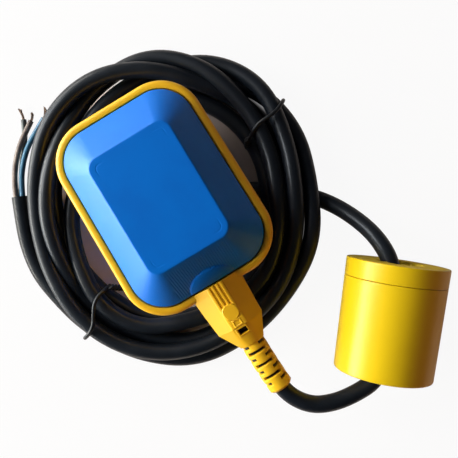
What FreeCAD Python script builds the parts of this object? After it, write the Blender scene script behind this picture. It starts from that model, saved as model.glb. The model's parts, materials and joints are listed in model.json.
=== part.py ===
# Cable float switch: a sealed float with its tilt switch inside, a cable laid in a loose coil,
# and a counterweight that slides on the cable. Millimetres, +Z up, the surface it lies on is Z = 0.
# +X runs along the float from its round end to the cable outlet, and the origin is the middle of
# the box that holds the float and the counterweight.
import FreeCAD, Part
import math
import os

Vector = FreeCAD.Vector
axis_x = Vector(1, 0, 0)
axis_y = Vector(0, 1, 0)
axis_z = Vector(0, 0, 1)

# Clearances
seat_gap = 0.3
slide_gap = 0.2
pin_gap = 0.05
cable_gap = 0.3

# Cable and its three cores
cable_diameter = 8.7
core_diameter = 3.0
copper_diameter = 1.6
copper_length = 5.6
core_spread = 1.8

# Float outline, seen from above
float_length = 107.0
float_width = 81.0
float_thickness = 41.5
side_taper = 1.0
rim_corner = 22.0

# Yellow rim round the middle of the float
rim_band = 4.2
rim_height = 8.0
rim_round = 2.4
tongue_reach = 3.0
tongue_thickness = 2.0

# Blue half shells
shell_gap = 0.5
shell_wall = 2.4
skirt_height = 5.0
plateau_width = 43.7
plateau_length = 62.4
plateau_corner = 6.0
plateau_shift = 0.2
post_radius = 2.5
post_inset_x = 12.0
post_inset_y = 7.0

# Neck moulded on the rim, where the cable comes out
neck_reach = 30.8
neck_straight = 20.0
neck_width = 27.6
neck_shoulder_width = 25.2
neck_end_width = 14.4
neck_thickness = 19.2
neck_edge_thickness = 4.4
neck_top_width = 8.0
groove_count = 3
groove_width = 1.0
groove_depth = 0.6
disc_radius = 4.0
disc_from_root = 11.5
button_size = 2.6
button_from_root = 17.4
window_length = 3.0
window_width = 4.6
window_from_root = 22.4
seal_length = 9.0
seal_from_root = 3.0
seal_wall = 2.6

# Slotted strain relief, bent a little to one side
relief_length = 27.6
relief_diameter = 12.6
relief_bend = 8.0
relief_spigot = 4.0
relief_spigot_diameter = 11.6
slot_width = 1.7
slot_pitch = 7.0
first_slot = 1.5
side_slot_count = 4
centre_slot_half_angle = 42.0
side_slot_top_angle = 18.0
side_slot_low_angle = 84.0
end_chamfer = 1.0
slot_arc_steps = 4

# Switch capsule inside the float
capsule_overhang = 4.8
capsule_width = 38.0
capsule_height = 21.0
capsule_wall = 2.0
lid_thickness = 2.0
lid_lip = 1.5
wire_slot_width = 22.0
wire_slot_height = 5.0

# Ball and its track
ball_diameter = 16.0
track_gap = 0.3
track_width = 24.0
track_top = -3.0
track_to_switch = 5.5
ball_to_lever = 0.4

# Snap switch that the ball works
switch_length = 27.8
switch_height = 15.9
switch_thickness = 10.3
switch_face = 9.5
plunger_width = 3.0
plunger_thickness = 2.4
plunger_length = 6.6
plunger_travel = 0.9
plunger_offset = 3.0
lever_angle = 6.0
lever_length = 23.5
lever_thickness = 0.5
lever_width = 6.0
lever_pin_radius = 0.6
lever_hub_radius = 1.3
lever_pin_offset = -10.5
lever_pin_stand_off = 1.6
ear_reach = 3.4
ear_thickness = 1.8
blade_length = 6.6
blade_width = 4.8
blade_thickness = 0.8
blade_pitch = 9.0
clamp_length = 3.0
clamp_wall = 1.2
clamp_gap = 1.2

# Counterweight, a slightly conical cylinder lying on its side
weight_length = 57.0
weight_diameter = 51.6
weight_draft = 0.9
weight_wall = 2.5
weight_bore = 12.0
weight_cap_height = 9.3
weight_edge = 1.0
mouth_diameter = 28.0
mouth_depth = 16.0
dish_diameter = 23.0
dish_depth = 10.0
ballast_floor = 8.0
cap_lip = 3.0
grip_length = 12.0
grip_from_foot = 22.0
grip_clearance = 0.5
weight_foot_x = 133.5
weight_foot_y = 49.4
weight_heading = 141.7

# Coil of about six loose turns
coil_outer_x = 83.0
coil_outer_y = 77.5
coil_inner_x = 58.5
coil_inner_y = 51.0
coil_height = 20.0
coil_round = 4.0
coil_centre_x = 4.0
coil_centre_y = -0.5

# Wire ties round the coil
tie_wire = 2.0
tie_angles = (100.6, -66.0)
tie_corner = 3.0
tie_twist_diameter = 3.2
tie_twist_length = 8.0
tie_notch_height = 3.4

# Worked out from the sizes above
weight_foot_diameter = weight_diameter - 2 * weight_draft
capsule_length = plateau_length + 2 * capsule_overhang
cable_radius = cable_diameter / 2
half_length = float_length / 2
half_width = float_width / 2
half_thickness = float_thickness / 2
float_height = coil_height + neck_thickness / 2 + seat_gap
neck_end = half_length + neck_reach
footprint_inset = rim_band + shell_gap
jacket_start = half_length - footprint_inset - shell_wall - clamp_length - clamp_gap
weight_lean = math.degrees(math.atan((weight_diameter - weight_foot_diameter) / 2 / weight_length))
weight_foot_height = weight_foot_diameter / 2 * math.cos(math.radians(weight_lean))


def outline_corners(inset, height=0.0):
    """The four corners of the float's outline, moved inwards by inset."""
    lean = math.tan(math.radians(side_taper))
    corners = []
    for side_x, side_y in ((-1, -1), (1, -1), (1, 1), (-1, 1)):
        x = side_x * (half_length - inset)
        y = side_y * (half_width + lean * x - inset / math.cos(math.radians(side_taper)))
        corners.append(Vector(x, y, height))
    return corners


def rounded_wire(corners, radius):
    """A closed wire through the corners, each rounded by the same radius."""
    edges = []
    ends = []
    count = len(corners)
    for i in range(count):
        corner = corners[i]
        before = (corners[i - 1] - corner).normalize()
        after = (corners[(i + 1) % count] - corner).normalize()
        half_angle = before.getAngle(after) / 2
        reach = radius / math.tan(half_angle)
        middle = (before + after).normalize()
        centre = corner + middle * (radius / math.sin(half_angle))
        ends.append((corner + before * reach, centre - middle * radius, corner + after * reach))
    for i in range(count):
        start, through, finish = ends[i]
        edges.append(Part.Arc(start, through, finish).toShape())
        edges.append(Part.LineSegment(finish, ends[(i + 1) % count][0]).toShape())
    return Part.Wire(edges)


def float_wire(inset, height):
    """The float's rounded outline at a height, moved inwards by inset."""
    return rounded_wire(outline_corners(inset, height), rim_corner - inset)


def box_between(low, high):
    return Part.makeBox(high[0] - low[0], high[1] - low[1], high[2] - low[2], Vector(*low))


def prism(wire, height):
    return Part.Face(wire).extrude(Vector(0, 0, height))


def plateau_wire(inset, height):
    """The flat top of a half shell."""
    half_x = plateau_length / 2 - inset
    half_y = plateau_width / 2 - inset
    corners = [Vector(plateau_shift + x, y, height)
               for x, y in ((-half_x, -half_y), (half_x, -half_y), (half_x, half_y), (-half_x, half_y))]
    return rounded_wire(corners, max(plateau_corner - inset, 1.0))


def turned(profile, axis_start, axis_direction):
    """A solid turned from a profile of (radius, height) pairs about a line."""
    points = [Vector(radius, 0, height) for radius, height in profile]
    face = Part.Face(Part.makePolygon(points + [points[0]]))
    solid = face.revolve(Vector(0, 0, 0), axis_z, 360)
    return placed(solid, axis_start, axis_direction)


def placed(solid, start, direction):
    """Moves a solid built along +Z so that it starts at a point and runs along a direction."""
    turn = FreeCAD.Rotation(axis_z, direction)
    moved = solid.copy()
    moved.Placement = FreeCAD.Placement(start, turn).multiply(moved.Placement)
    return moved


def tube_path(points):
    """Straight runs joined by tangent arcs, with the arc radii that the runs allow."""
    edges = []
    radii = []
    start = points[0]
    for i in range(1, len(points) - 1):
        corner = points[i]
        before = points[i - 1] - corner
        after = points[i + 1] - corner
        turn = math.pi - before.getAngle(after)
        reach = 0.45 * min(before.Length, after.Length)
        radii.append(reach / math.tan(turn / 2))
        into = corner + before.normalize() * reach
        out = corner + after.normalize() * reach
        middle = (before.normalize() + after.normalize()).normalize()
        centre_reach = math.hypot(reach, radii[-1])
        through = corner + middle * (centre_reach - radii[-1])
        edges.append(Part.LineSegment(start, into).toShape())
        edges.append(Part.Arc(into, through, out).toShape())
        start = out
    edges.append(Part.LineSegment(start, points[-1]).toShape())
    return Part.Wire(edges), radii


def tube(points, diameter, name):
    """A round tube along a route, with its bend radii and its volume printed."""
    path, radii = tube_path(points)
    heading = points[1] - points[0]
    section = Part.Wire(Part.makeCircle(diameter / 2, points[0], heading))
    solid = path.makePipeShell([section], True, False, 2)
    expected = math.pi * diameter ** 2 / 4 * path.Length
    print(name, "length", round(path.Length, 1), "volume share", round(solid.Volume / expected, 4))
    print("  radii", [round(radius, 1) for radius in radii])
    return solid


def shell_body(upper_half):
    """One blue half shell: an upright skirt, sloping sides and a flat plateau, hollow inside."""
    base = tongue_thickness / 2
    outer_low = float_wire(footprint_inset, base)
    outer_skirt = float_wire(footprint_inset, skirt_height)
    outer_top = plateau_wire(0, half_thickness)
    outer = prism(outer_low, skirt_height - base).fuse(
        Part.makeLoft([outer_skirt, outer_top], True, True)).removeSplitter()
    inner_low = float_wire(footprint_inset + shell_wall, base)
    inner_skirt = float_wire(footprint_inset + shell_wall, skirt_height)
    inner_top = plateau_wire(shell_wall, half_thickness - shell_wall)
    inner = prism(inner_low, skirt_height - base).fuse(Part.makeLoft([inner_skirt, inner_top], True, True))
    shell = outer.cut(inner)
    shell = shell.fuse(shell_posts(upper_half)).cut(cable_hole(cable_gap)).removeSplitter()
    if not upper_half:
        shell = shell.mirror(Vector(0, 0, 0), axis_z)
    return shell


def shell_posts(upper_half):
    """Four posts from the plateau's inside to the switch capsule."""
    gap = seat_gap if upper_half else 0.0
    low = capsule_top() + gap if upper_half else capsule_height / 2
    high = half_thickness - shell_wall / 2
    posts = None
    for side_x in (-1, 1):
        for side_y in (-1, 1):
            x = side_x * (capsule_length / 2 - post_inset_x)
            y = side_y * (capsule_width / 2 - post_inset_y)
            post = Part.makeCylinder(post_radius, high - low, Vector(x, y, low))
            posts = post if posts is None else posts.fuse(post)
    return posts


def capsule_top():
    return capsule_height / 2 + lid_thickness


def cable_hole(gap):
    return Part.makeCylinder(cable_radius + gap, neck_end, Vector(0, 0, 0), axis_x)


def rim_band_body():
    """The rim round the float, with the tongue that both shells stand on."""
    outer = prism(float_wire(0, -rim_height / 2), rim_height)
    long_edges = [edge for edge in outer.Edges if abs(abs(edge.BoundBox.ZMin) - rim_height / 2) < 1e-6
                  and edge.BoundBox.ZLength < 1e-6]
    outer = outer.makeFillet(rim_round, long_edges)
    opening = prism(float_wire(rim_band, -rim_height), 2 * rim_height)
    tongue = prism(float_wire(rim_band - shell_gap, -tongue_thickness / 2), tongue_thickness)
    tongue = tongue.cut(prism(float_wire(rim_band + tongue_reach + shell_gap, -rim_height), 2 * rim_height))
    return outer.cut(opening).fuse(tongue)


def neck_body():
    """The neck: a roof-shaped section, narrowing to the strain relief."""
    root = half_length - rim_band / 2
    shoulder = half_length + neck_straight
    half_roof = neck_thickness / 2
    half_edge = neck_edge_thickness / 2
    section = [(neck_top_width / 2, half_roof), (neck_width / 2, half_edge), (neck_width / 2, -half_edge),
               (neck_top_width / 2, -half_roof), (-neck_top_width / 2, -half_roof),
               (-neck_width / 2, -half_edge), (-neck_width / 2, half_edge), (-neck_top_width / 2, half_roof)]
    points = [Vector(root, y, z) for y, z in section]
    body = Part.Face(Part.makePolygon(points + [points[0]])).extrude(Vector(neck_end - root, 0, 0))
    plan = [(root, neck_width / 2 + 1), (half_length, neck_width / 2), (shoulder, neck_shoulder_width / 2),
            (neck_end, neck_end_width / 2)]
    plan += [(x, -y) for x, y in reversed(plan)]
    points = [Vector(x, y, -half_roof) for x, y in plan]
    body = body.common(prism(Part.makePolygon(points + [points[0]]), neck_thickness))
    side = [(root, half_roof), (shoulder, half_roof), (neck_end, neck_end_width / 2)]
    side += [(x, -z) for x, z in reversed(side)]
    points = [Vector(x, -neck_width, z) for x, z in side]
    cut_side = Part.Face(Part.makePolygon(points + [points[0]])).extrude(Vector(0, 2 * neck_width, 0))
    return body.common(cut_side)


def neck_details(body):
    """Grooves, a disc, a button and a window on the neck's flat top."""
    roof = neck_thickness / 2
    pitch = neck_top_width / (groove_count + 1)
    for i in range(groove_count):
        y = (i - (groove_count - 1) / 2) * pitch
        body = body.cut(box_between((half_length + 1.0, y - groove_width / 2, roof - groove_depth),
                                    (half_length + disc_from_root, y + groove_width / 2, roof + 1)))
    disc = Part.makeCylinder(disc_radius, groove_depth + 0.2,
                             Vector(half_length + disc_from_root, 0, roof - groove_depth))
    button = box_between(
        (half_length + button_from_root - button_size / 2, -button_size / 2, roof - groove_depth),
        (half_length + button_from_root + button_size / 2, button_size / 2, roof + 0.3))
    window = box_between((half_length + window_from_root - window_length / 2, -window_width / 2, 0),
                         (half_length + window_from_root + window_length / 2, window_width / 2, roof + 1))
    return body.fuse(disc).fuse(button).cut(window)


def rim_frame():
    """Rim and neck, moulded as one piece, with the cable's way through."""
    body = rim_band_body().fuse(neck_details(neck_body()))
    seal_room = Part.makeCylinder(cable_radius + seal_wall, seal_length,
                                  Vector(half_length + seal_from_root, 0, 0), axis_x)
    spigot_room = Part.makeCylinder(relief_spigot_diameter / 2 + pin_gap, relief_spigot + seat_gap,
                                    Vector(neck_end - relief_spigot - seat_gap, 0, 0), axis_x)
    return body.cut(cable_hole(cable_gap)).cut(seal_room).cut(spigot_room).removeSplitter()


def relief_frame(distance):
    """A point on the relief's bent centre line, and its heading, at a distance from the neck."""
    radius = relief_length / math.radians(relief_bend)
    angle = distance / radius
    point = Vector(neck_end + radius * math.sin(angle), radius * (1 - math.cos(angle)), 0)
    return point, Vector(math.cos(angle), math.sin(angle), 0)


def bent_rod(diameter, length):
    """A rod that follows the relief's bend from the neck's end."""
    radius = relief_length / math.radians(relief_bend)
    face = Part.Face(Part.Wire(Part.makeCircle(diameter / 2, Vector(neck_end, 0, 0), axis_x)))
    return face.revolve(Vector(neck_end, radius, 0), axis_z, math.degrees(length / radius))


def wedge(distance, from_angle, to_angle):
    """A slot through the relief's wall between two angles, measured from the top."""
    reach = relief_diameter
    points = [Vector(0, 0, 0)]
    for i in range(slot_arc_steps + 1):
        angle = math.radians(from_angle + (to_angle - from_angle) * i / slot_arc_steps)
        points.append(Vector(0, reach * math.sin(angle), reach * math.cos(angle)))
    face = Part.Face(Part.makePolygon(points + [points[0]]))
    solid = face.extrude(Vector(slot_width, 0, 0))
    point, heading = relief_frame(distance - slot_width / 2)
    turn = FreeCAD.Rotation(axis_z, math.degrees(math.atan2(heading.y, heading.x)))
    solid.Placement = FreeCAD.Placement(point, turn)
    return solid


def strain_relief():
    """The flexible sleeve: side slots and centre slots take turns along it."""
    body = bent_rod(relief_diameter, relief_length)
    end_point, end_heading = relief_frame(relief_length)
    rims = [edge for edge in body.Edges if edge.Curve.TypeId == "Part::GeomCircle"
            and (edge.CenterOfMass - end_point).Length < 0.5]
    body = body.makeChamfer(end_chamfer, rims)
    spigot = Part.makeCylinder(relief_spigot_diameter / 2, relief_spigot,
                               Vector(neck_end - relief_spigot, 0, 0), axis_x)
    body = body.fuse(spigot)
    for i in range(side_slot_count):
        distance = first_slot + i * slot_pitch
        for side in (-1, 1):
            body = body.cut(wedge(distance, side * side_slot_top_angle, side * side_slot_low_angle))
        if i < side_slot_count - 1:
            middle = distance + slot_pitch / 2
            for half_turn in (0, 180):
                body = body.cut(wedge(middle, half_turn - centre_slot_half_angle,
                                      half_turn + centre_slot_half_angle))
    bore = bent_rod(cable_diameter + 2 * pin_gap, relief_length)
    inlet = Part.makeCylinder(cable_radius + pin_gap, relief_spigot, Vector(neck_end - relief_spigot, 0, 0),
                              axis_x)
    return body.cut(bore).cut(inlet)


def cable_in_neck():
    """The jacketed cable from inside the float to the end of the strain relief."""
    straight = Part.makeCylinder(cable_radius, neck_end - jacket_start, Vector(jacket_start, 0, 0), axis_x)
    return straight.fuse(bent_rod(cable_diameter, relief_length)).removeSplitter()


def ring_on_cable(start, length, inner, outer):
    ring = Part.makeCylinder(outer, length, Vector(start, 0, 0), axis_x)
    return ring.cut(Part.makeCylinder(inner, length, Vector(start, 0, 0), axis_x))


def cable_seal():
    return ring_on_cable(half_length + seal_from_root + slide_gap, seal_length - 2 * slide_gap,
                         cable_radius + pin_gap, cable_radius + seal_wall - pin_gap)


def cable_clamp():
    return ring_on_cable(jacket_start, clamp_length, cable_radius + pin_gap, cable_radius + clamp_wall)


def capsule_base():
    """The open box that holds the switch, resting on the lower shell's posts."""
    half_x = capsule_length / 2
    half_y = capsule_width / 2
    half_z = capsule_height / 2
    outer = box_between((-half_x, -half_y, -half_z), (half_x, half_y, half_z))
    inner = box_between((capsule_wall - half_x, capsule_wall - half_y, capsule_wall - half_z),
                        (half_x - capsule_wall, half_y - capsule_wall, half_z + 1))
    wire_slot = box_between((half_x - 2 * capsule_wall, -wire_slot_width / 2, -wire_slot_height / 2),
                            (half_x + 1, wire_slot_width / 2, wire_slot_height / 2))
    return outer.cut(inner).cut(wire_slot)


def capsule_lid():
    """The flat lid, with a lip that fits inside the base."""
    half_x = capsule_length / 2
    half_y = capsule_width / 2
    half_z = capsule_height / 2
    plate = box_between((-half_x, -half_y, half_z), (half_x, half_y, half_z + lid_thickness))
    inset = capsule_wall + slide_gap
    lip = box_between((inset - half_x, inset - half_y, half_z - lid_lip), (half_x - inset, half_y - inset, half_z))
    inset += capsule_wall / 2
    hollow = box_between((inset - half_x, inset - half_y, half_z - lid_lip),
                         (half_x - inset, half_y - inset, half_z))
    return plate.fuse(lip.cut(hollow)).removeSplitter()


def capsule_floor():
    return capsule_wall - capsule_height / 2


def ball_track():
    """A block with a half-round channel that the ball rolls along."""
    start = capsule_wall - capsule_length / 2
    block = box_between((start, -track_width / 2, capsule_floor()),
                        (switch_face - track_to_switch, track_width / 2, track_top))
    channel = Part.makeCylinder(ball_diameter / 2 + track_gap, capsule_length,
                                Vector(start - 1, 0, 0), axis_x)
    return block.cut(channel)


def lever_line(y):
    """The x of the lever's middle plane at a given y."""
    pin_x = switch_face - lever_pin_stand_off
    return pin_x - math.tan(math.radians(lever_angle)) * (y - lever_pin_offset)


def ball_rest_x():
    return lever_line(0) - lever_thickness / 2 - ball_to_lever - ball_diameter / 2


def steel_ball():
    return Part.makeSphere(ball_diameter / 2, Vector(ball_rest_x(), 0, 0))


def snap_switch_case():
    """The snap switch's case, with two ears for the lever's pin and a slot for its plunger."""
    half_z = switch_thickness / 2
    case = box_between((switch_face, -switch_length / 2, -half_z),
                       (switch_face + switch_height, switch_length / 2, half_z))
    pin_x = switch_face - lever_pin_stand_off
    for side in (-1, 1):
        low = side * half_z if side < 0 else half_z - ear_thickness
        ear = box_between((switch_face - ear_reach, lever_pin_offset - ear_reach / 2, low),
                          (switch_face, lever_pin_offset + ear_reach / 2, low + ear_thickness))
        case = case.fuse(ear)
    pin_hole = Part.makeCylinder(lever_pin_radius, switch_thickness + 2, Vector(pin_x, lever_pin_offset, -half_z - 1))
    slot_end = plunger_start() + plunger_length + plunger_travel + slide_gap
    slot = box_between(
        (switch_face - 1, plunger_offset - plunger_width / 2 - slide_gap, -plunger_thickness / 2 - slide_gap),
        (slot_end, plunger_offset + plunger_width / 2 + slide_gap, plunger_thickness / 2 + slide_gap))
    supports = box_between((switch_face, -switch_length / 2, capsule_floor()),
                           (switch_face + switch_height, switch_length / 2, -half_z))
    hollow = box_between((switch_face + 2, 3 - switch_length / 2, capsule_floor()),
                         (switch_face + switch_height - 2, switch_length / 2 - 3, -half_z))
    return case.fuse(supports.cut(hollow)).cut(pin_hole).cut(slot).removeSplitter()


def plunger_start():
    slant = math.tan(math.radians(lever_angle)) * plunger_width / 2
    return lever_line(plunger_offset) + lever_thickness / 2 + slant + slide_gap


def plunger():
    start = plunger_start()
    return box_between((start, plunger_offset - plunger_width / 2, -plunger_thickness / 2),
                       (start + plunger_length, plunger_offset + plunger_width / 2, plunger_thickness / 2))


def lever():
    """A spring strip rolled round its pin."""
    pin = Vector(switch_face - lever_pin_stand_off, lever_pin_offset, 0)
    strip = box_between((-lever_thickness / 2, 0, -lever_width / 2),
                        (lever_thickness / 2, lever_length, lever_width / 2))
    strip.Placement = FreeCAD.Placement(pin, FreeCAD.Rotation(axis_z, lever_angle))
    start = Vector(pin.x, pin.y, -lever_width / 2)
    hub = Part.makeCylinder(lever_hub_radius, lever_width, start)
    hole = Part.makeCylinder(lever_pin_radius + pin_gap, lever_width + 2, start - axis_z)
    return strip.fuse(hub).cut(hole).removeSplitter()


def lever_pin():
    start = Vector(switch_face - lever_pin_stand_off, lever_pin_offset, -switch_thickness / 2)
    return Part.makeCylinder(lever_pin_radius, switch_thickness, start)


def blade(y):
    start = switch_face + switch_height
    return box_between((start, y - blade_width / 2, -blade_thickness / 2),
                       (start + blade_length, y + blade_width / 2, blade_thickness / 2))


def core_places():
    """Where the three cores lie in the cable's section: side, then height."""
    return [(core_spread, core_spread / 2), (0.0, -core_spread), (-core_spread, core_spread / 2)]


def inner_core(index):
    """A core from its blade to the cut edge of the jacket inside the float."""
    side, lift = core_places()[index]
    y = (index - 1) * blade_pitch
    start = switch_face + switch_height + blade_length
    middle = (start + jacket_start) / 2
    points = [Vector(start, y, 0), Vector(start + 3.5, y, 0.02), Vector(middle + 1.5, (y - side) / 2, lift / 2),
              Vector(jacket_start - 2.5, -side, lift), Vector(jacket_start - pin_gap, -side, lift + 0.02)]
    return tube(points, core_diameter, "inner core")


def weight_axis():
    heading = math.radians(weight_heading)
    lean = math.radians(weight_lean)
    return Vector(math.cos(heading) * math.cos(lean), math.sin(heading) * math.cos(lean), math.sin(lean))


def weight_foot():
    """The middle of the counterweight's narrow end, in the float's own plan."""
    return Vector(weight_foot_x, weight_foot_y, weight_foot_height - float_height)


def weight_radius(height):
    grow = (weight_diameter - weight_foot_diameter) / 2 / weight_length
    return weight_foot_diameter / 2 + grow * height


def mouth_radius(height):
    share = max(0.0, 1.0 - height / mouth_depth)
    return weight_bore / 2 + (mouth_diameter - weight_bore) / 2 * share


def counterweight_shell():
    """The yellow can: outer wall, foot with a flared mouth, and the tube round the cable."""
    seam = weight_length - weight_cap_height
    tube_radius = weight_bore / 2 + weight_wall
    profile = [(mouth_radius(0), 0), (weight_radius(0) - weight_edge, 0),
               (weight_radius(weight_edge), weight_edge), (weight_radius(seam), seam),
               (weight_radius(seam) - weight_wall, seam),
               (weight_radius(ballast_floor) - weight_wall, ballast_floor),
               (mouth_radius(ballast_floor) + weight_wall, ballast_floor), (tube_radius, mouth_depth + weight_wall),
               (tube_radius, seam), (weight_bore / 2, seam), (weight_bore / 2, mouth_depth)]
    return turned(profile, weight_foot(), weight_axis())


def counterweight_cap():
    """The cap on the wide end, with a dished cable hole and a lip inside the can."""
    seam = weight_length - weight_cap_height
    lip_outer = weight_radius(seam) - weight_wall - slide_gap
    dish_start = weight_length - dish_depth
    hole_at_seam = weight_bore / 2
    if dish_start < seam:
        hole_at_seam += (dish_diameter - weight_bore) / 2 * (seam - dish_start) / dish_depth
    profile = [(hole_at_seam, seam), (lip_outer - weight_wall, seam), (lip_outer - weight_wall, seam - cap_lip),
               (lip_outer, seam - cap_lip), (lip_outer, seam), (weight_radius(seam), seam),
               (weight_radius(weight_length) - weight_edge / 8, weight_length - weight_edge),
               (weight_radius(weight_length) - weight_edge, weight_length), (dish_diameter / 2, weight_length)]
    return turned(profile, weight_foot(), weight_axis())


def counterweight_ballast():
    """The iron ring shut in the can."""
    top = weight_length - weight_cap_height - cap_lip - seat_gap
    tube_radius = weight_bore / 2 + weight_wall + seat_gap
    wall = weight_wall + seat_gap
    profile = [(mouth_radius(ballast_floor) + wall, ballast_floor), (weight_radius(ballast_floor) - wall, ballast_floor),
               (weight_radius(top) - wall, top), (tube_radius, top), (tube_radius, mouth_depth + wall)]
    return turned(profile, weight_foot(), weight_axis())


def counterweight_grip():
    """The ring in the bore that the cable is held by."""
    inner = cable_radius + grip_clearance
    outer = weight_bore / 2 - pin_gap
    profile = [(inner, grip_from_foot), (outer, grip_from_foot), (outer, grip_from_foot + grip_length),
               (inner, grip_from_foot + grip_length)]
    return turned(profile, weight_foot(), weight_axis())


def weight_point(distance, side=0.0):
    """A point on the counterweight's axis, at a distance from its foot, moved sideways by side."""
    across = Vector(-math.sin(math.radians(weight_heading)), math.cos(math.radians(weight_heading)), 0)
    return weight_foot() + weight_axis() * distance + across * side


def lead_route():
    """The cable from the strain relief, through the counterweight, down to the coil."""
    start, heading = relief_frame(relief_length)
    z = float_height
    return [start, start + heading * 6.0,
            Vector(128.0, 9.8, 29.4 - z), Vector(133.2, 20.5, 28.2 - z), Vector(135.2, 32.5, 26.8 - z),
            Vector(135.0, 44.0, 25.6 - z), weight_point(7.0), weight_point(24.0, 0.3), weight_point(43.0),
            Vector(87.0, 81.8, 25.9 - z), Vector(75.5, 82.9, 22.4 - z), Vector(64.0, 81.2, 15.6 - z),
            Vector(53.0, 76.8, 8.4 - z), Vector(42.5, 70.4, 4.8 - z), Vector(34.5, 63.5, 4.5 - z)]


def tail_route():
    """The cable from the coil to the cut end of its jacket."""
    z = cable_radius + 0.15 - float_height
    places = [(30.0, -71.5), (20.5, -77.6), (8.5, -81.9), (-5.0, -83.2), (-20.0, -80.6),
              (-33.0, -75.3), (-43.2, -69.3)]
    return [Vector(x, y, z) for x, y in places]


def core_route(index):
    """A free core from the cut jacket to its stripped end: inner, lower and outer core in turn."""
    tail = tail_route()
    heading = (tail[-1] - tail[-2]).normalize()
    across = Vector(heading.y, -heading.x, 0)
    side, lift = core_places()[index]
    start = tail[-1] + heading * pin_gap + across * side + axis_z * lift
    places = (
        [(-49.4, -63.4, 5.0), (-55.5, -58.4, 4.5), (-61.2, -52.6, 4.2), (-66.5, -45.8, 4.1), (-71.3, -37.9, 3.9)],
        [(-51.5, -64.5, 2.0), (-59.8, -58.9, 1.7), (-66.8, -53.2, 1.6), (-73.0, -48.9, 1.6), (-78.6, -46.3, 1.7)],
        [(-51.2, -67.5, 5.3), (-58.3, -62.8, 5.1), (-64.4, -57.3, 5.2), (-69.8, -50.4, 5.3), (-75.0, -42.5, 4.6)])
    return [start] + [Vector(x, y, z - float_height) for x, y, z in places[index]]


def copper_tip(index):
    """The bare strands beyond a core's insulation."""
    route = core_route(index)
    heading = route[-1] - route[-2]
    return Part.makeCylinder(copper_diameter / 2, copper_length, route[-1], heading)


def oval_face(half_x, half_y, height):
    """An oval of four tangent arcs, a little longer along X than along Y."""
    centre = Vector(coil_centre_x, coil_centre_y, height)
    spread = half_x - half_y
    diagonal = math.hypot(half_x, half_y)
    end_radius = diagonal * (diagonal - spread) / 2 / half_x
    side_radius = diagonal * (diagonal + spread) / 2 / half_y
    end_centre = half_x - end_radius
    side_centre = side_radius - half_y
    joint = Vector(end_centre, side_centre, 0).normalize() * side_radius - Vector(0, side_centre, 0)
    corners = [centre + Vector(side_x * joint.x, side_y * joint.y, 0)
               for side_x, side_y in ((1, -1), (1, 1), (-1, 1), (-1, -1))]
    through = [Vector(half_x, 0, 0), Vector(0, half_y, 0), Vector(-half_x, 0, 0), Vector(0, -half_y, 0)]
    arcs = [Part.Arc(corners[i], centre + through[i], corners[(i + 1) % 4]).toShape() for i in range(4)]
    return Part.Face(Part.Wire(arcs))


def cable_coil():
    """The outer shape of the whole coil, with notches under it for the ties."""
    low = -float_height
    ring = oval_face(coil_outer_x, coil_outer_y, low).extrude(Vector(0, 0, coil_height))
    hole = oval_face(coil_inner_x, coil_inner_y, low).extrude(Vector(0, 0, coil_height))
    ring = ring.cut(hole)
    ring = ring.makeFillet(coil_round, [edge for edge in ring.Edges if edge.BoundBox.ZLength < 1e-3])
    reach = 2 * coil_outer_x
    half_notch = tie_wire / 2 + slide_gap
    for angle in tie_angles:
        notch = box_between((0, -half_notch, -1), (reach, half_notch, tie_notch_height))
        notch.Placement = FreeCAD.Placement(Vector(coil_centre_x, coil_centre_y, low),
                                            FreeCAD.Rotation(axis_z, angle))
        ring = ring.cut(notch)
    return ring


def ellipse_reach(half_x, half_y, angle):
    return 1 / math.hypot(math.cos(angle) / half_x, math.sin(angle) / half_y)


def tie_loop(degrees, wire_radius):
    """A wire loop round the coil's section at an angle round the coil."""
    angle = math.radians(degrees)
    outward = Vector(math.cos(angle), math.sin(angle), 0)
    centre = Vector(coil_centre_x, coil_centre_y, -float_height)
    clear = tie_wire / 2 + seat_gap
    near = ellipse_reach(coil_inner_x, coil_inner_y, angle) - clear
    far = ellipse_reach(coil_outer_x, coil_outer_y, angle) + clear
    low = tie_wire / 2 + slide_gap
    high = coil_height + clear
    corners = [centre + outward * near + axis_z * low, centre + outward * far + axis_z * low,
               centre + outward * far + axis_z * high, centre + outward * near + axis_z * high]
    path = rounded_wire(corners, tie_corner)
    start = path.Edges[1].firstVertex().Point
    if path.Edges[1].tangentAt(path.Edges[1].FirstParameter).dot(outward) < 0:
        start = path.Edges[1].lastVertex().Point
    section = Part.Wire(Part.makeCircle(wire_radius, start, outward))
    return path.makePipeShell([section], True, True)


def tie(degrees):
    """A wire tie: its loop and the short twist that closes it, on the coil's inner side."""
    angle = math.radians(degrees)
    outward = Vector(math.cos(angle), math.sin(angle), 0)
    along = Vector(-math.sin(angle), math.cos(angle), 0)
    centre = Vector(coil_centre_x, coil_centre_y, -float_height)
    near = ellipse_reach(coil_inner_x, coil_inner_y, angle) - tie_wire / 2 - seat_gap - slide_gap
    start = centre + outward * near + axis_z * (coil_height - tie_corner - tie_twist_diameter)
    twist = Part.makeCylinder(tie_twist_diameter / 2, tie_twist_length, start, along - outward * 0.4)
    return tie_loop(degrees, tie_wire / 2).fuse(twist).removeSplitter()


def weight_extent(axis_index):
    """How far the counterweight's box reaches past the middles of its two ends along X or Y."""
    heading = math.radians(weight_heading)
    across = abs(math.sin(heading)) if axis_index == 0 else abs(math.cos(heading))
    foot = weight_point(0)[axis_index]
    top = weight_point(weight_length)[axis_index]
    foot_reach = (weight_foot_diameter / 2) * across
    top_reach = (weight_diameter / 2) * across
    return min(foot - foot_reach, top - top_reach), max(foot + foot_reach, top + top_reach)


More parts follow.
